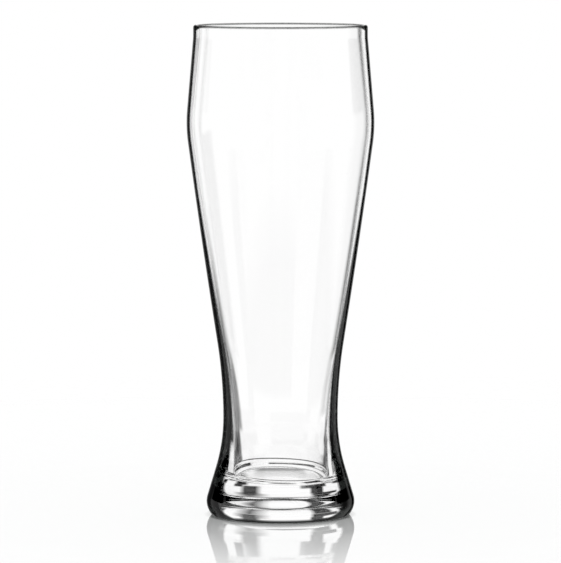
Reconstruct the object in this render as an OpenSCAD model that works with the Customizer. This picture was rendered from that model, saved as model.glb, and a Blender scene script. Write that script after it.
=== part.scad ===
// Weizen glass: one body of clear soda-lime glass, a solid of revolution with a solid base.
// Millimetres, +Z up along the axis, origin at the centre of the plane that the glass stands on.
// The wall is two chains of arcs and straight lines, one outside and one inside. Each arc's vertical
// tangent lies at a named height, and the straight lines are worked out as the arcs' shared tangents.

/* [Bowl] */
// Height from the standing plane to the top of the rim
height = 225; // [200:1:260]
// Largest outer diameter, at the bulge
bulge_d = 85.8; // [82:0.1:96]
// Height of the rim above the bulge
bulge_drop = 44.6; // [36:0.2:60]
// Radius of the bulge along the outline
bulge_round = 70; // [30:1:100]
// Wall thickness at the bulge
bulge_wall = 2; // [1.5:0.1:3.5]
// Radius of the slight outward bow of the long taper, along the outline
taper_bow = 4200; // [2000:100:8000]

/* [Rim] */
// Step from the bulge in to the rim, on the radius
rim_step = 3.05; // [1.5:0.05:6]
// Thickness of the fire-polished rim
rim_thickness = 2.3; // [1.6:0.1:3]
// Depth of the upright band under the top of the rim
rim_band = 5; // [3:0.5:10]
// Radius of the hollow that joins the rim band to the flared bowl
rim_blend = 13; // [8:1:30]

/* [Waist] */
// Outer diameter of the waist
waist_d = 52.6; // [46:0.1:58]
// Height of the waist
waist_z = 45; // [40:0.5:56]
// Radius of the long hollow above the waist
waist_round = 225; // [150:5:300]
// Radius of the hollow below the waist, as a share of the one that would run straight into the foot
foot_hollow_share = 0.87; // [0.6:0.005:1]

/* [Inside] */
// Step from the waist's outer radius in to the narrowest part of the inside
throat_wall = 4.2; // [3:0.1:6]
// Height of the waist above the narrowest part of the inside
throat_drop = 12; // [4:0.5:16]
// Radius of the long hollow of the inside
throat_round = 240; // [150:5:300]
// Radius of the corner between the inside's wall and its floor
well_corner = 4; // [3:0.5:10]

/* [Base] */
// Largest outer diameter of the foot
foot_d = 68; // [62:0.1:76]
// Radius of the foot's rounded side
foot_edge = 9; // [6:0.5:13]
// Step from the foot's largest radius in to the flat ring that the glass stands on
ring_step = 2.8; // [2:0.1:5]
// Radius of the polished edge round the flat ring
ring_edge = 0.6; // [0.3:0.1:1.5]
// Thickness of solid glass at the middle of the base
base_thickness = 14.6; // [12:0.1:20]
// Width of the flat ring
ring_width = 1.6; // [1:0.1:3]
// Depth of the shallow dish inside the standing ring
punt_depth = 0.4; // [0.2:0.1:2]

/* [Smoothness] */
// Straight pieces in each arc of the outline
arc_steps = 10; // [6:1:16]
// Sides around the axis
round_fn = 180; // [90:10:360]

/* [Hidden] */

bulge_r = bulge_d / 2;
bulge_z = height - bulge_drop;
rim_r = bulge_r - rim_step;
waist_r = waist_d / 2;
foot_r = foot_d / 2;
bead = rim_thickness / 2;
bead_z = height - bead;
neck_z = height - rim_band;
ring_outer_r = foot_r - ring_step;
ring_inner_r = ring_outer_r - ring_width;
// The foot's rounded side is cut off by the ground base, and the ring's edge touches both
foot_centre_r = foot_r - foot_edge;
edge_reach = foot_edge - ring_edge;
edge_run = ring_outer_r - foot_centre_r;
foot_z = ring_edge + sqrt(edge_reach * edge_reach - edge_run * edge_run);
// Radius of a hollow that starts upright at the waist and ends on the foot's rounded side
foot_rise = waist_z - foot_z;
foot_flare = foot_centre_r - waist_r;
touching_round = (foot_flare * foot_flare + foot_rise * foot_rise - foot_edge * foot_edge)
    / (2 * (foot_flare + foot_edge));
foot_hollow = foot_hollow_share * touching_round;
// The floor of the well, measured up from the top of the dish under the base
floor_z = punt_depth + base_thickness;
throat_r = waist_r - throat_wall;
throat_z = waist_z - throat_drop;
// The corner's middle lies where the corner touches both the floor and the inside's hollow
corner_z = floor_z + well_corner;
corner_reach = throat_round + well_corner;
corner_rise = throat_z - corner_z;
corner_r = throat_r + throat_round - sqrt(corner_reach * corner_reach - corner_rise * corner_rise);
// The dish is part of a ball through its rim and its middle
punt_ball = (ring_inner_r * ring_inner_r + punt_depth * punt_depth) / (2 * punt_depth);
punt_half_angle = asin(ring_inner_r / punt_ball);

// An arc is [centre r, centre z, radius], with a radius below zero where the outline is hollow
function centre(a) = [a[0], a[1]];
function normal(angle) = [cos(angle), sin(angle)];

// Angle of the outward normal on the straight line that touches two arcs, read from top to bottom.
// Where the arcs touch each other, rounding is kept from pushing the cosine past one.
function line_normal(a, b) =
    let (d = centre(b) - centre(a),
         cosine = (a[2] - b[2]) / norm(d),
         angle = atan2(d[1], d[0]) + acos(max(-1, min(1, cosine))))
    angle > 180 ? angle - 360 : angle;

// Arc of a wide radius that bows outwards between two others and touches both
function arc_between(a, b, radius) =
    let (d = centre(b) - centre(a),
         span = norm(d),
         reach_a = radius - a[2],
         reach_b = radius - b[2],
         along = (span * span + reach_a * reach_a - reach_b * reach_b) / (2 * span),
         aside = sqrt(reach_a * reach_a - along * along),
         way = d / span,
         middle = centre(a) + along * way + aside * [way[1], -way[0]])
    [middle[0], middle[1], radius];

// Points of one arc between two angles of its normal
function arc_points(a, from, to) =
    [for (i = [0 : arc_steps]) centre(a) + a[2] * normal(from + (to - from) * i / arc_steps)];

// Points of a chain of arcs, from the normal at its start to the normal at its end
function chain(arcs, first, last) =
    let (count = len(arcs),
         joins = [for (i = [0 : count - 2]) line_normal(arcs[i], arcs[i + 1])],
         normals = concat([first], joins, [last]))
    [for (i = [0 : count - 1]) each arc_points(arcs[i], normals[i], normals[i + 1])];

// Outside: rim, rim band, bulge, taper, waist, foot, edge of the standing ring
outer_bulge = [bulge_r - bulge_round, bulge_z, bulge_round];
outer_waist = [waist_r + waist_round, waist_z, -waist_round];
outer_arcs = [
    [rim_r - bead, bead_z, bead],
    [rim_r + rim_blend, neck_z, -rim_blend],
    outer_bulge,
    arc_between(outer_bulge, outer_waist, taper_bow),
    outer_waist,
    [waist_r + foot_hollow, waist_z, -foot_hollow],
    [foot_centre_r, foot_z, foot_edge],
    [ring_outer_r, ring_edge, ring_edge]
];

// Inside: rim, rim band, bulge, taper, throat, corner of the well. The rim's arc turns the other way
// here, because its glass lies outside it
inner_bulge = [bulge_r - bulge_round, bulge_z, bulge_round - bulge_wall];
inner_throat = [throat_r + throat_round, throat_z, -throat_round];
inner_arcs = [
    [rim_r - bead, bead_z, -bead],
    [rim_r - rim_thickness + rim_blend, neck_z, -rim_blend],
    inner_bulge,
    arc_between(inner_bulge, inner_throat, taper_bow),
    inner_throat,
    [corner_r, corner_z, well_corner]
];

outer_wall = chain(outer_arcs, 90, -90);
inner_wall = chain(inner_arcs, -90, -90);

// The dish under the base, from the standing ring to the axis
dish = [for (i = [0 : arc_steps])
    let (angle = punt_half_angle * (1 - i / arc_steps))
    [punt_ball * sin(angle), punt_depth - punt_ball * (1 - cos(angle))]];

module glass() {
    color([0.90, 0.94, 0.94, 0.35])
        rotate_extrude($fn = round_fn)
            polygon(concat(
                outer_wall,
                dish,
                [[0, floor_z]],
                [for (i = [len(inner_wall) - 1 : -1 : 0]) inner_wall[i]]
            ));
}

glass();
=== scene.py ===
"""Weizen glass of clear soda-lime glass, on a pale glossy floor in soft light."""
import math

import bpy
from mathutils import Euler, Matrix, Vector


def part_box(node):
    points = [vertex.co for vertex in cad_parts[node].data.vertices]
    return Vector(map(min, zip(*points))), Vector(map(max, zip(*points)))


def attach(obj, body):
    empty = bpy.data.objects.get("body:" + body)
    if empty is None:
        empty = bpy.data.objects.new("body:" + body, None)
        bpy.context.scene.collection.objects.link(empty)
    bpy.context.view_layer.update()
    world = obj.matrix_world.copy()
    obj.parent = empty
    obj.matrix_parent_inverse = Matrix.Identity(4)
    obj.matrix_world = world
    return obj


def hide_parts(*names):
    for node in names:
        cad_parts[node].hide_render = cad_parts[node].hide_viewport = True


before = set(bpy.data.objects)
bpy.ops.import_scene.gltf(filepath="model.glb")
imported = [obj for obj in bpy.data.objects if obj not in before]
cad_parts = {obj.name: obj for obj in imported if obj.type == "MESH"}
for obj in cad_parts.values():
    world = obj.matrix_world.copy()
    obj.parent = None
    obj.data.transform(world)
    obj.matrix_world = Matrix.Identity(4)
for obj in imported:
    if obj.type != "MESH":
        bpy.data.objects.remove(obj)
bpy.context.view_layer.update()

# Sizes of the glass in millimetres. The height and the width of the bulge come from the frame
MM = 0.001
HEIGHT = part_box("glass")[1][2] / MM
BULGE_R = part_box("glass")[1][0] / MM
# Bowl: the bulge's place under the rim, its roundness and wall, and the bow of the taper
BULGE_DROP = 44.6
BULGE_ROUND = 70.0
BULGE_WALL = 2.0
TAPER_BOW = 4200.0
# Rim: in from the bulge, how thick, and the upright band under it
RIM_STEP = 3.05
RIM_THICKNESS = 2.3
RIM_BAND = 5.0
RIM_BLEND = 13.0
# Waist: its radius and height, the hollow above it and the hollow below it
WAIST_R = 26.3
WAIST_Z = 45.0
WAIST_ROUND = 225.0
FOOT_HOLLOW_SHARE = 0.87
# Inside: the narrowest part and the corner of the well
THROAT_WALL = 4.2
THROAT_DROP = 12.0
THROAT_ROUND = 240.0
WELL_CORNER = 4.0
# Tilt of the well's floor in degrees, as in the photograph, and the heights between which it tilts
WELL_TILT = 2.2
WELL_TILT_FROM = 12.0
WELL_TILT_TO = 40.0
# Base: the foot, the ring that the glass stands on, and the shallow dish inside the ring
FOOT_R = 34.0
FOOT_EDGE = 9.0
RING_STEP = 2.8
RING_EDGE = 0.6
RING_WIDTH = 1.6
BASE_THICKNESS = 14.6
PUNT_DEPTH = 0.4

# How finely the outline and the turn are divided
STEP_LENGTH = 1.6
STEP_ANGLE = 4.0
LEAST_STEPS = 2
SIDES = 288
# Points of the outline, and of the skin, that lie nearer to each other than this are one
NEAR_ON_OUTLINE = 0.01
NEAR_ON_SKIN = 0.002


def srgb(code):
    """Linear colour of an sRGB hex value."""
    channels = [int(code[i:i + 2], 16) / 255 for i in (1, 3, 5)]
    return [c / 12.92 if c <= 0.04045 else ((c + 0.055) / 1.055) ** 2.4 for c in channels] + [1.0]


def add(tree, kind, settings=None, links=None):
    """Add a node, with its settings and input values, and link sockets into it."""
    node = tree.nodes.new(kind)
    for name, value in (settings or {}).items():
        if isinstance(name, int) or name in node.inputs:
            node.inputs[name].default_value = value
        else:
            setattr(node, name, value)
    for name, socket in (links or {}).items():
        tree.links.new(socket, node.inputs[name])
    return node


# Outline: arcs [centre r, centre z, radius], hollow where the radius is below zero

def line_normal(a, b):
    """Angle of the outward normal on the straight line that touches two arcs."""
    dr = b[0] - a[0]
    dz = b[1] - a[1]
    cosine = (a[2] - b[2]) / math.hypot(dr, dz)
    angle = math.atan2(dz, dr) + math.acos(max(-1.0, min(1.0, cosine)))
    return angle - 2 * math.pi if angle > math.pi else angle


def arc_between(a, b, radius):
    """Arc of a wide radius that bows outwards between two others and touches both."""
    dr = b[0] - a[0]
    dz = b[1] - a[1]
    span = math.hypot(dr, dz)
    reach_a = radius - a[2]
    reach_b = radius - b[2]
    along = (span ** 2 + reach_a ** 2 - reach_b ** 2) / (2 * span)
    aside = math.sqrt(reach_a ** 2 - along ** 2)
    way_r = dr / span
    way_z = dz / span
    return [a[0] + along * way_r + aside * way_z, a[1] + along * way_z - aside * way_r, radius]


def chain(arcs, first, last):
    """Points down a chain of arcs and the straight lines that touch them."""
    normals = [first] + [line_normal(a, b) for a, b in zip(arcs, arcs[1:])] + [last]
    points = []
    for (r, z, radius), start, end in zip(arcs, normals, normals[1:]):
        turn = abs(end - start)
        by_angle = math.ceil(turn / math.radians(STEP_ANGLE))
        by_length = math.ceil(turn * abs(radius) / STEP_LENGTH)
        steps = max(LEAST_STEPS, by_angle, by_length)
        for i in range(steps + 1):
            angle = start + (end - start) * i / steps
            points.append((r + radius * math.cos(angle), z + radius * math.sin(angle)))
    return points


def outside():
    """Outline of the outside, from the top of the rim to the standing ring."""
    bead = RIM_THICKNESS / 2
    rim_r = BULGE_R - RIM_STEP
    foot_centre_r = FOOT_R - FOOT_EDGE
    ring_r = FOOT_R - RING_STEP
    foot_z = RING_EDGE + math.sqrt((FOOT_EDGE - RING_EDGE) ** 2 - (ring_r - foot_centre_r) ** 2)
    rise = WAIST_Z - foot_z
    flare = foot_centre_r - WAIST_R
    touching_round = (flare ** 2 + rise ** 2 - FOOT_EDGE ** 2) / (2 * (flare + FOOT_EDGE))
    foot_hollow = FOOT_HOLLOW_SHARE * touching_round
    bulge = [BULGE_R - BULGE_ROUND, HEIGHT - BULGE_DROP, BULGE_ROUND]
    waist = [WAIST_R + WAIST_ROUND, WAIST_Z, -WAIST_ROUND]
    return chain([
        [rim_r - bead, HEIGHT - bead, bead],
        [rim_r + RIM_BLEND, HEIGHT - RIM_BAND, -RIM_BLEND],
        bulge,
        arc_between(bulge, waist, TAPER_BOW),
        waist,
        [WAIST_R + foot_hollow, WAIST_Z, -foot_hollow],
        [foot_centre_r, foot_z, FOOT_EDGE],
        [ring_r, RING_EDGE, RING_EDGE],
    ], math.pi / 2, -math.pi / 2)


def inside():
    """Outline of the inside, from the top of the rim to the floor of the well."""
    bead = RIM_THICKNESS / 2
    rim_r = BULGE_R - RIM_STEP
    throat_r = WAIST_R - THROAT_WALL
    throat_z = WAIST_Z - THROAT_DROP
    corner_z = PUNT_DEPTH + BASE_THICKNESS + WELL_CORNER
    reach = math.sqrt((THROAT_ROUND + WELL_CORNER) ** 2 - (throat_z - corner_z) ** 2)
    bulge = [BULGE_R - BULGE_ROUND, HEIGHT - BULGE_DROP, BULGE_ROUND - BULGE_WALL]
    throat = [throat_r + THROAT_ROUND, throat_z, -THROAT_ROUND]
    return chain([
        [rim_r - bead, HEIGHT - bead, -bead],
        [rim_r - RIM_THICKNESS + RIM_BLEND, HEIGHT - RIM_BAND, -RIM_BLEND],
        bulge,
        arc_between(bulge, throat, TAPER_BOW),
        throat,
        [throat_r + THROAT_ROUND - reach, corner_z, WELL_CORNER],
    ], -math.pi / 2, -math.pi / 2)


def dish():
    """Outline of the shallow dish under the base, from the standing ring to the axis."""
    edge_r = FOOT_R - RING_STEP - RING_WIDTH
    ball = (edge_r ** 2 + PUNT_DEPTH ** 2) / (2 * PUNT_DEPTH)
    half_angle = math.asin(edge_r / ball)
    steps = math.ceil(edge_r / STEP_LENGTH)
    angles = [half_angle * (1 - i / steps) for i in range(steps + 1)]
    return [(ball * math.sin(a), PUNT_DEPTH - ball * (1 - math.cos(a))) for a in angles]


def clean(points):
    """Points with near doubles left out."""
    kept = [points[0]]
    for point in points[1:]:
        if math.dist(point, kept[-1]) > NEAR_ON_OUTLINE:
            kept.append(point)
    return kept


def outline():
    """Outline of the glass, from the middle of the well's floor over the rim to the middle of the base."""
    well = [(0.0, PUNT_DEPTH + BASE_THICKNESS)]
    return clean(well + inside()[::-1] + outside() + dish())


def turning_tree():
    """Geometry Nodes that turn an outline about the Z axis into one closed skin."""
    tree = bpy.data.node_groups.new("turned glass", "GeometryNodeTree")
    face = tree.interface
    face.new_socket("Geometry", in_out="INPUT", socket_type="NodeSocketGeometry")
    face.new_socket("Sides", in_out="INPUT", socket_type="NodeSocketInt")
    face.new_socket("Material", in_out="INPUT", socket_type="NodeSocketMaterial")
    face.new_socket("Geometry", in_out="OUTPUT", socket_type="NodeSocketGeometry")
    inputs = add(tree, "NodeGroupInput")
    outputs = add(tree, "NodeGroupOutput")

    size = add(tree, "GeometryNodeAttributeDomainSize", {"component": "MESH"},
               {"Geometry": inputs.outputs["Geometry"]})
    stations = size.outputs["Point Count"]
    columns = add(tree, "ShaderNodeMath", {"operation": "ADD", 1: 1.0}, {0: inputs.outputs["Sides"]})
    grid = add(tree, "GeometryNodeMeshGrid", None,
               {"Vertices X": columns.outputs[0], "Vertices Y": stations})
    index = add(tree, "GeometryNodeInputIndex").outputs[0]
    station = add(tree, "ShaderNodeMath", {"operation": "MODULO"}, {0: index, 1: stations})
    quotient = add(tree, "ShaderNodeMath", {"operation": "DIVIDE"}, {0: index, 1: stations})
    column = add(tree, "ShaderNodeMath", {"operation": "FLOOR"}, {0: quotient.outputs[0]})
    share = add(tree, "ShaderNodeMath", {"operation": "DIVIDE"},
                {0: column.outputs[0], 1: inputs.outputs["Sides"]})
    turn = add(tree, "ShaderNodeMath", {"operation": "MULTIPLY", 1: 2 * math.pi}, {0: share.outputs[0]})
    place = add(tree, "GeometryNodeInputPosition").outputs[0]
    sample = add(tree, "GeometryNodeSampleIndex", {"data_type": "FLOAT_VECTOR", "domain": "POINT"},
                 {"Geometry": inputs.outputs["Geometry"], "Value": place, "Index": station.outputs[0]})
    angle = add(tree, "ShaderNodeCombineXYZ", None, {"Z": turn.outputs[0]})
    turned = add(tree, "ShaderNodeVectorRotate", {"rotation_type": "EULER_XYZ"},
                 {"Vector": sample.outputs[0], "Rotation": angle.outputs[0]})
    placed = add(tree, "GeometryNodeSetPosition", None,
                 {"Geometry": grid.outputs["Mesh"], "Position": turned.outputs[0]})
    merged = add(tree, "GeometryNodeMergeByDistance", {"Distance": NEAR_ON_SKIN * MM},
                 {"Geometry": placed.outputs[0]})
    outward = add(tree, "GeometryNodeFlipFaces", None, {"Mesh": merged.outputs[0]})
    smooth = add(tree, "GeometryNodeSetShadeSmooth", None, {"Geometry": outward.outputs[0]})
    real = add(tree, "GeometryNodeRealizeInstances", None, {"Geometry": smooth.outputs[0]})
    dressed = add(tree, "GeometryNodeSetMaterial", None,
                  {"Geometry": real.outputs[0], "Material": inputs.outputs["Material"]})
    tree.links.new(dressed.outputs[0], outputs.inputs[0])
    return tree


def set_input(modifier, name, value):
    """Set a modifier's input by its socket's identifier."""
    for item in modifier.node_group.interface.items_tree:
        if item.item_type == "SOCKET" and item.in_out == "INPUT" and item.name == name:
            modifier[item.identifier] = value


def turned_piece(name, points, sides, material):
    """A closed piece turned from an outline of (r, z) points in millimetres."""
    line = bpy.data.meshes.new(name + "_outline")
    corners = [(r * MM, 0.0, z * MM) for r, z in points]
    line.from_pydata(corners, [(i, i + 1) for i in range(len(corners) - 1)], [])
    rough = bpy.data.objects.new(name + "_outline", line)
    bpy.context.scene.collection.objects.link(rough)
    modifier = rough.modifiers.new("turn", "NODES")
    modifier.node_group = turning_tree()
    set_input(modifier, "Sides", sides)
    set_input(modifier, "Material", material)
    bpy.context.view_layer.update()
    graph = bpy.context.evaluated_depsgraph_get()
    mesh = bpy.data.meshes.new_from_object(rough.evaluated_get(graph))
    mesh.name = name
    piece = bpy.data.objects.new(name, mesh)
    bpy.context.scene.collection.objects.link(piece)
    bpy.data.objects.remove(rough)
    return piece


def settle_well(mesh):
    """Tilt the floor of the well a little down to the right, and fade the tilt out up the wall."""
    slope = math.tan(math.radians(WELL_TILT))
    floor_z = PUNT_DEPTH + BASE_THICKNESS
    inside_r = WAIST_R - THROAT_WALL / 2
    for vertex in mesh.vertices:
        r = math.hypot(vertex.co.x, vertex.co.y) / MM
        z = vertex.co.z / MM
        if r < inside_r and WELL_TILT_FROM < z < WELL_TILT_TO:
            share = min(1.0, (WELL_TILT_TO - z) / (WELL_TILT_TO - floor_z - WELL_CORNER))
            vertex.co.z -= vertex.co.x * slope * share


# Clear glass on white has dark edges: past a certain turn away from the eye, light that enters the wall
# is mirrored inside it and leaves sideways. That dark edge is painted shade here, darkening the glass's
# colour. The thick wall of the waist has a wide dark edge, the thin wall of the bowl a narrow one, so the
# turn where the painted shade starts grows from the waist to the bowl. A turn is a share here: 0 faces the
# eye and 1 is seen edge on
PAINTED_EDGE_SHADE = "#0C0E0D"
EDGE_LOW_Z = 35.0
EDGE_HIGH_Z = 150.0
EDGE_START_LOW = 0.42
EDGE_START_HIGH = 0.72
EDGE_SOFTNESS = 0.06
# Share of the painted dark edge that, seen from outside, loses its mirror image and refracts in the
# painted dark colour
PAINTED_EDGE_SHADE_MIX = 0.75
# The outside is where the surface looks away from the axis by at least this share
OUTSIDE_LEAST = 0.1
# The foot's side turns under itself just above the standing ring; a dark line of painted shade runs there
PAINTED_FOOT_LINE_FROM = 0.9
PAINTED_FOOT_LINE_TO = 1.9
# The fire-polished rim bends light round its small radius; its grey is painted shade
PAINTED_RIM_SHADE = "#5A5C5B"
PAINTED_RIM_SHADE_DEPTH = 1.2
# Its thick bead widens the painted dark edge at both ends of the rim
RIM_EDGE_DEPTH = 2.4
RIM_EDGE_GAIN = 0.14
# Index of refraction of soda-lime glass, and what its shadow keeps of the light
GLASS_IOR = 1.52
SHADOW_TINT = "#F2F4F3"
WHITE = "#FFFFFF"


def painted_shade_share(tree, coordinates, height):
    """How much painted shade each spot of the glass gets: its dark edge, wider at the rim, or the dark
    line above the ring.
    """
    start = add(tree, "ShaderNodeMapRange", {
        "From Min": EDGE_LOW_Z * MM, "From Max": EDGE_HIGH_Z * MM,
        "To Min": EDGE_START_LOW, "To Max": EDGE_START_HIGH,
    }, {"Value": height})
    # Painted shade: the dark edge reaches further in near the top of the rim
    gain = add(tree, "ShaderNodeMapRange", {
        "From Min": (HEIGHT - RIM_EDGE_DEPTH) * MM, "From Max": (HEIGHT - PAINTED_RIM_SHADE_DEPTH) * MM,
        "To Max": RIM_EDGE_GAIN,
    }, {"Value": height})
    turn = add(tree, "ShaderNodeLayerWeight").outputs["Facing"]
    raised = add(tree, "ShaderNodeMath", {"operation": "ADD"}, {0: turn, 1: gain.outputs[0]})
    past = add(tree, "ShaderNodeMath", {"operation": "SUBTRACT"},
               {0: raised.outputs[0], 1: start.outputs[0]})
    turned = add(tree, "ShaderNodeMapRange", {"From Max": EDGE_SOFTNESS}, {"Value": past.outputs[0]})
    # Painted shade: a dark line just above the standing ring
    painted_foot_line = add(tree, "ShaderNodeMapRange", {
        "From Min": PAINTED_FOOT_LINE_FROM * MM, "From Max": PAINTED_FOOT_LINE_TO * MM, "To Min": 1.0, "To Max": 0.0,
    }, {"Value": height})
    dark = add(tree, "ShaderNodeMath", {"operation": "MAXIMUM"},
               {0: turned.outputs[0], 1: painted_foot_line.outputs[0]})
    # Only the outside gets the painted shade, so the well and the dish stay clear
    from_axis = add(tree, "ShaderNodeVectorMath", {"operation": "MULTIPLY", 1: (1.0, 1.0, 0.0)},
                    {0: coordinates.outputs["Object"]})
    away = add(tree, "ShaderNodeVectorMath", {"operation": "NORMALIZE"}, {0: from_axis.outputs[0]})
    outward = add(tree, "ShaderNodeVectorMath", {"operation": "DOT_PRODUCT"},
                  {0: away.outputs[0], 1: coordinates.outputs["Normal"]})
    outer = add(tree, "ShaderNodeMath", {"operation": "GREATER_THAN", 1: OUTSIDE_LEAST},
                {0: outward.outputs["Value"]})
    edge = add(tree, "ShaderNodeMath", {"operation": "MULTIPLY"},
               {0: dark.outputs[0], 1: outer.outputs[0]})
    return edge.outputs[0]


def soda_lime_glass():
    """Colourless soda-lime glass, fire-polished: clear, with hard dark edges and a grey rim painted in as
    shade, and a bright polish.
    """
    material = bpy.data.materials.new("soda_lime_glass")
    material.use_nodes = True
    tree = material.node_tree
    tree.nodes.clear()
    coordinates = add(tree, "ShaderNodeTexCoord")
    height = add(tree, "ShaderNodeSeparateXYZ", None, {0: coordinates.outputs["Object"]}).outputs["Z"]
    edge = painted_shade_share(tree, coordinates, height)
    # Painted shade: the top of the rim is greyer
    rim = add(tree, "ShaderNodeMapRange", {
        "From Min": (HEIGHT - PAINTED_RIM_SHADE_DEPTH) * MM, "From Max": (HEIGHT - PAINTED_RIM_SHADE_DEPTH / 2) * MM,
    }, {"Value": height})
    # Painted shade: the glass's white colour goes dark at its edge
    painted_edge_colour = add(tree, "ShaderNodeMixRGB", {1: srgb(WHITE), 2: srgb(PAINTED_EDGE_SHADE)}, {0: edge})
    painted_rim_colour = add(tree, "ShaderNodeMixRGB", {1: srgb(WHITE), 2: srgb(PAINTED_RIM_SHADE)}, {0: rim.outputs[0]})
    # The painted edge shade and the painted rim shade together make the glass's colour
    painted_shade = add(tree, "ShaderNodeMixRGB", {"blend_type": "MULTIPLY", 0: 1.0},
               {1: painted_edge_colour.outputs[0], 2: painted_rim_colour.outputs[0]})
    polished = add(tree, "ShaderNodeBsdfPrincipled", {
        "Roughness": 0.0,
        "IOR": GLASS_IOR,
        "Transmission Weight": 1.0,
    }, {"Base Color": painted_shade.outputs[0]})
    # Seen from outside, the dark edge is painted as a dark refraction that mirrors little of what stands
    # round the glass
    painted_dark_refraction = add(tree, "ShaderNodeBsdfRefraction",
               {"Color": srgb(PAINTED_EDGE_SHADE), "Roughness": 0.0, "IOR": GLASS_IOR})
    from_inside = add(tree, "ShaderNodeNewGeometry").outputs["Backfacing"]
    from_outside = add(tree, "ShaderNodeMath", {"operation": "MULTIPLY_ADD", 1: -PAINTED_EDGE_SHADE_MIX, 2: PAINTED_EDGE_SHADE_MIX},
                       {0: from_inside})
    painted_dark_share = add(tree, "ShaderNodeMath", {"operation": "MULTIPLY"},
                     {0: edge, 1: from_outside.outputs[0]})
    glass = add(tree, "ShaderNodeMixShader", None,
                {0: painted_dark_share.outputs[0], 1: polished.outputs[0], 2: painted_dark_refraction.outputs[0]})
    # Light for shadows and from pale surfaces goes straight through
    path = add(tree, "ShaderNodeLightPath")
    clear = add(tree, "ShaderNodeBsdfTransparent", {"Color": srgb(SHADOW_TINT)})
    soft_rays = add(tree, "ShaderNodeMath", {"operation": "MAXIMUM"},
                    {0: path.outputs["Is Shadow Ray"], 1: path.outputs["Is Diffuse Ray"]})
    mixed = add(tree, "ShaderNodeMixShader", None,
                {0: soft_rays.outputs[0], 1: glass.outputs[0], 2: clear.outputs[0]})
    add(tree, "ShaderNodeOutputMaterial", None, {"Surface": mixed.outputs[0]})
    return material


def glass_body():
    """The whole glass, in the place of the frame's node."""
    body = turned_piece("glass_body", outline(), SIDES, soda_lime_glass())
    settle_well(body.data)
    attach(body, "root")
    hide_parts("glass")


# Stage: a pale polished floor, and a bright surround with dark screens standing in it

FLOOR_RADIUS = 700.0
FLOOR_SIDES = 96
FLOOR_DROP = 0.02
FLOOR_BLUR = 0.03
# The floor mirrors most beside the foot, and less and less away from it
SHINE_NEAR = 0.65
SHINE_FAR = 0.2
SHINE_REACH = 165.0
# Painted shadow: the floor's colour is darker under the foot and a little way round it
CONTACT_R = FOOT_R - RING_STEP
CONTACT_SOFT = 4.0
CONTACT_LIGHT = 0.1
# Past these distances the floor fades into the white behind it
FADE_FROM = 200.0
FADE_TO = 600.0


def floor_material():
    """White acrylic sheet: pale, with a painted shadow round the foot and a soft reflection of what stands
    on it.
    """
    material = bpy.data.materials.new("white_acrylic")
    material.use_nodes = True
    tree = material.node_tree
    tree.nodes.clear()
    place = add(tree, "ShaderNodeTexCoord").outputs["Object"]
    distance = add(tree, "ShaderNodeVectorMath", {"operation": "LENGTH"}, {0: place}).outputs["Value"]
    shine = add(tree, "ShaderNodeMapRange", {
        "From Min": FOOT_R * MM, "From Max": SHINE_REACH * MM, "To Min": SHINE_NEAR, "To Max": SHINE_FAR,
    }, {"Value": distance})
    fade = add(tree, "ShaderNodeMapRange", {"From Min": FADE_FROM * MM, "From Max": FADE_TO * MM},
               {"Value": distance})
    # Painted shadow: the floor's diffuse colour darkens towards the foot
    painted_shadow_level = add(tree, "ShaderNodeMapRange", {
        "From Min": CONTACT_R * MM, "From Max": (CONTACT_R + CONTACT_SOFT) * MM, "To Min": CONTACT_LIGHT,
    }, {"Value": distance})
    grey = add(tree, "ShaderNodeCombineXYZ", None,
               {"X": painted_shadow_level.outputs[0], "Y": painted_shadow_level.outputs[0], "Z": painted_shadow_level.outputs[0]})
    pale = add(tree, "ShaderNodeBsdfDiffuse", None, {"Color": grey.outputs[0]})
    polish = add(tree, "ShaderNodeBsdfGlossy", {"Color": srgb(WHITE), "Roughness": FLOOR_BLUR})
    sheet = add(tree, "ShaderNodeMixShader", None,
                {0: shine.outputs[0], 1: pale.outputs[0], 2: polish.outputs[0]})
    # Rays out of the glass pass through the floor, so the glass shows the white surround below it too
    clear = add(tree, "ShaderNodeBsdfTransparent")
    path = add(tree, "ShaderNodeLightPath")
    from_glass = add(tree, "ShaderNodeMath", {"operation": "MAXIMUM"},
                     {0: path.outputs["Is Transmission Ray"], 1: path.outputs["Is Glossy Ray"]})
    gone = add(tree, "ShaderNodeMath", {"operation": "MAXIMUM"},
               {0: from_glass.outputs[0], 1: fade.outputs[0]})
    mixed = add(tree, "ShaderNodeMixShader", None,
                {0: gone.outputs[0], 1: sheet.outputs[0], 2: clear.outputs[0]})
    add(tree, "ShaderNodeOutputMaterial", None, {"Surface": mixed.outputs[0]})
    return material


def floor():
    """A round sheet just under the standing ring."""
    mesh = bpy.data.meshes.new("floor")
    radius = FLOOR_RADIUS * MM
    turns = [2 * math.pi * i / FLOOR_SIDES for i in range(FLOOR_SIDES)]
    rim = [(radius * math.cos(t), radius * math.sin(t), 0.0) for t in turns]
    mesh.from_pydata(rim, [], [list(range(FLOOR_SIDES))])
    sheet = bpy.data.objects.new("floor", mesh)
    mesh.materials.append(floor_material())
    sheet.location.z = -FLOOR_DROP * MM
    bpy.context.scene.collection.objects.link(sheet)


# Dark screens round the glass, which give clear glass its dark lines. Each is a patch of directions in
# degrees: azimuth from and to, elevation from and to, how soft its sides are, and how dark it is.
# Azimuth 0 lies straight behind the glass and grows to the right. Upper and lower edges are this soft
SCREEN_EDGE = 2.0
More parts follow.
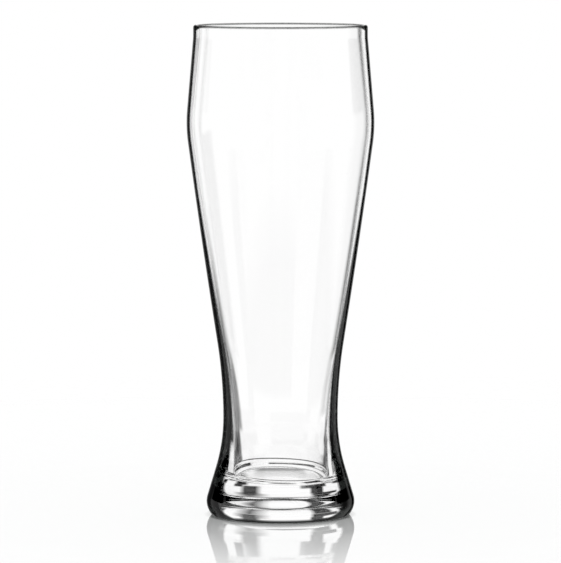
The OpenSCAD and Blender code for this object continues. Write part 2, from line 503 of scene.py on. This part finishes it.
# Seen through the glass
SCREENS_THROUGH = [
    # Behind to the right: the line inside the right wall, and upright bars at the left of the base
    (12, 23, -11, 3, 4, 0.95),
    (10, 26, 2, 8, 10, 0.95),
    (12, 24, 8, 46, 12, 0.9),
    # Behind to the left: the line inside the left wall, and upright bars at the right of the base
    (-26, -17, -11, 3, 2, 1),
    (-40, -18, 2, 8, 3, 1),
    (-34, -19, 8, 55, 4, 1),
    (-29, -14, -31, -9, 2, 1),
    (-19, -11, -15, -7, 2, 0.8),
    # To the right, past a white gap: a second line just inside the right wall
    (40, 52, -12, 3, 3, 1),
    (40, 75, 2, 8, 4, 0.95),
    (40, 75, 8, 18, 3, 1),
    (23, 30, -13, -9, 2, 1),
    (20, 29, -20, -12, 3, 1),
    (39, 44, -20, -12, 2, 1),
    # Low on both sides: the lines up the waist and round the floor of the well
    (-54, -36, -20, -12, 4, 1),
    (-36, -22, -31, -14, 4, 1),
    (22, 38, -31, -18, 4, 1),
    (54, 118, -22, -17, 4, 1),
    (54, 116, -60, -21, 4, 1),
    (156, 181, -60, -21, 4, 1),
    (-78, -60, -22, -17, 4, 1),
    (-118, -104, -22, -17, 4, 1),
    (-78, -60, -60, -21, 4, 1),
    (-181, -104, -60, -21, 4, 1),
    # High on both sides: short lines in the corner of the well and in the base
    (48, 150, 13, 42, 4, 1),
    (-75, -43, 8, 20, 4, 1),
    (-150, -100, 13, 56, 4, 1),
    # Under the glass and over it: level lines behind the floor of the well and across the base
    (-30, 30, -31, -25, 4, 1),
    (-181, 181, -91, -72, 4, 0.8),
    (-181, 181, 66, 91, 4, 1),
]
# Mirrored by the glass
SCREENS_MIRRORED = [
    # Level on both sides: the outline, all the way up
    (18, 32, -26, 8, 2, 1),
    (50, 76, -22, 6, 10, 0.8),
    (-40, -17, -26, 9, 6, 0.9),
    # Higher on both sides: the flared sides of the foot
    (12, 80, 3, 14, 4, 1),
    (-78, -12, 3, 14, 4, 1),
    (80, 116, 12, 40, 4, 1),
    (-150, -60, 12, 40, 4, 1),
]


def screened(tree, azimuth, elevation, screens):
    """Light from each direction past a list of screens."""
    light = None
    for az_from, az_to, el_from, el_to, softness, darkness in screens:
        shade = None
        edges = [
            (azimuth, az_from, softness),
            (azimuth, az_to, -softness),
            (elevation, el_from, SCREEN_EDGE),
            (elevation, el_to, -SCREEN_EDGE),
        ]
        for angle, edge, soft in edges:
            past = add(tree, "ShaderNodeMapRange",
                       {"From Min": edge - soft / 2, "From Max": edge + soft / 2}, {"Value": angle})
            if shade is not None:
                past = add(tree, "ShaderNodeMath", {"operation": "MULTIPLY"},
                           {0: shade, 1: past.outputs[0]})
            shade = past.outputs[0]
        open_share = add(tree, "ShaderNodeMath", {"operation": "MULTIPLY_ADD", 1: -darkness, 2: 1.0},
                         {0: shade})
        if light is not None:
            open_share = add(tree, "ShaderNodeMath", {"operation": "MULTIPLY"},
                             {0: light, 1: open_share.outputs[0]})
        light = open_share.outputs[0]
    return light


def surround():
    """White all round for the camera; for the glass, white with dark screens standing in it."""
    world = bpy.data.worlds.new("surround")
    bpy.context.scene.world = world
    world.use_nodes = True
    tree = world.node_tree
    tree.nodes.clear()
    way = add(tree, "ShaderNodeTexCoord").outputs["Generated"]
    parts = add(tree, "ShaderNodeSeparateXYZ", None, {0: way})
    turn = add(tree, "ShaderNodeMath", {"operation": "ARCTAN2"},
               {0: parts.outputs["X"], 1: parts.outputs["Y"]})
    azimuth = add(tree, "ShaderNodeMath", {"operation": "DEGREES"}, {0: turn.outputs[0]}).outputs[0]
    rise = add(tree, "ShaderNodeMath", {"operation": "ARCSINE"}, {0: parts.outputs["Z"]})
    elevation = add(tree, "ShaderNodeMath", {"operation": "DEGREES"}, {0: rise.outputs[0]}).outputs[0]
    path = add(tree, "ShaderNodeLightPath")
    light = add(tree, "ShaderNodeBackground", {"Color": srgb(WHITE), "Strength": 1.0})
    # A ray that has passed through glass counts as glossy too, so the screens seen through it come last
    for ray, screens in (("Is Glossy Ray", SCREENS_MIRRORED), ("Is Transmission Ray", SCREENS_THROUGH)):
        level = screened(tree, azimuth, elevation, screens)
        screened_light = add(tree, "ShaderNodeBackground", {"Color": srgb(WHITE)}, {"Strength": level})
        light = add(tree, "ShaderNodeMixShader", None,
                    {0: path.outputs[ray], 1: light.outputs[0], 2: screened_light.outputs[0]})
    add(tree, "ShaderNodeOutputWorld", None, {"Surface": light.outputs[0]})


# Camera: where the photograph was taken from, in millimetres, degrees and the photograph's own pixels
PHOTO_HEIGHT = 563
CAMERA_DISTANCE = 1967.5
CAMERA_HEIGHT = 276.5
CAMERA_TILT = 4.911
CAMERA_REACH = 4306.6
SENSOR_WIDTH = 36.0
CLIP_END = 50000.0


def camera():
    """The photograph's point of view, a little above the rim and looking down."""
    lens = bpy.data.cameras.new("camera")
    lens.sensor_fit = "AUTO"
    lens.sensor_width = SENSOR_WIDTH
    lens.lens = SENSOR_WIDTH * CAMERA_REACH / PHOTO_HEIGHT
    lens.clip_end = CLIP_END * MM
    eye = bpy.data.objects.new("camera", lens)
    eye.location = Vector((0.0, -CAMERA_DISTANCE, CAMERA_HEIGHT)) * MM
    eye.rotation_euler = Euler((math.radians(90 - CAMERA_TILT), 0.0, 0.0))
    bpy.context.scene.collection.objects.link(eye)
    bpy.context.scene.camera = eye


# Light has to cross every wall of the glass, and to be mirrored many times in its thick foot
GLASS_BOUNCES = 40
MIRROR_BOUNCES = 16
CLEAR_BOUNCES = 32


def picture():
    """Plain colours, and paths long enough for the glass."""
    scene = bpy.context.scene
    scene.view_settings.view_transform = "Standard"
    scene.cycles.max_bounces = GLASS_BOUNCES
    scene.cycles.transmission_bounces = GLASS_BOUNCES
    scene.cycles.glossy_bounces = MIRROR_BOUNCES
    scene.cycles.transparent_max_bounces = CLEAR_BOUNCES


camera()
glass_body()
floor()
surround()
picture()
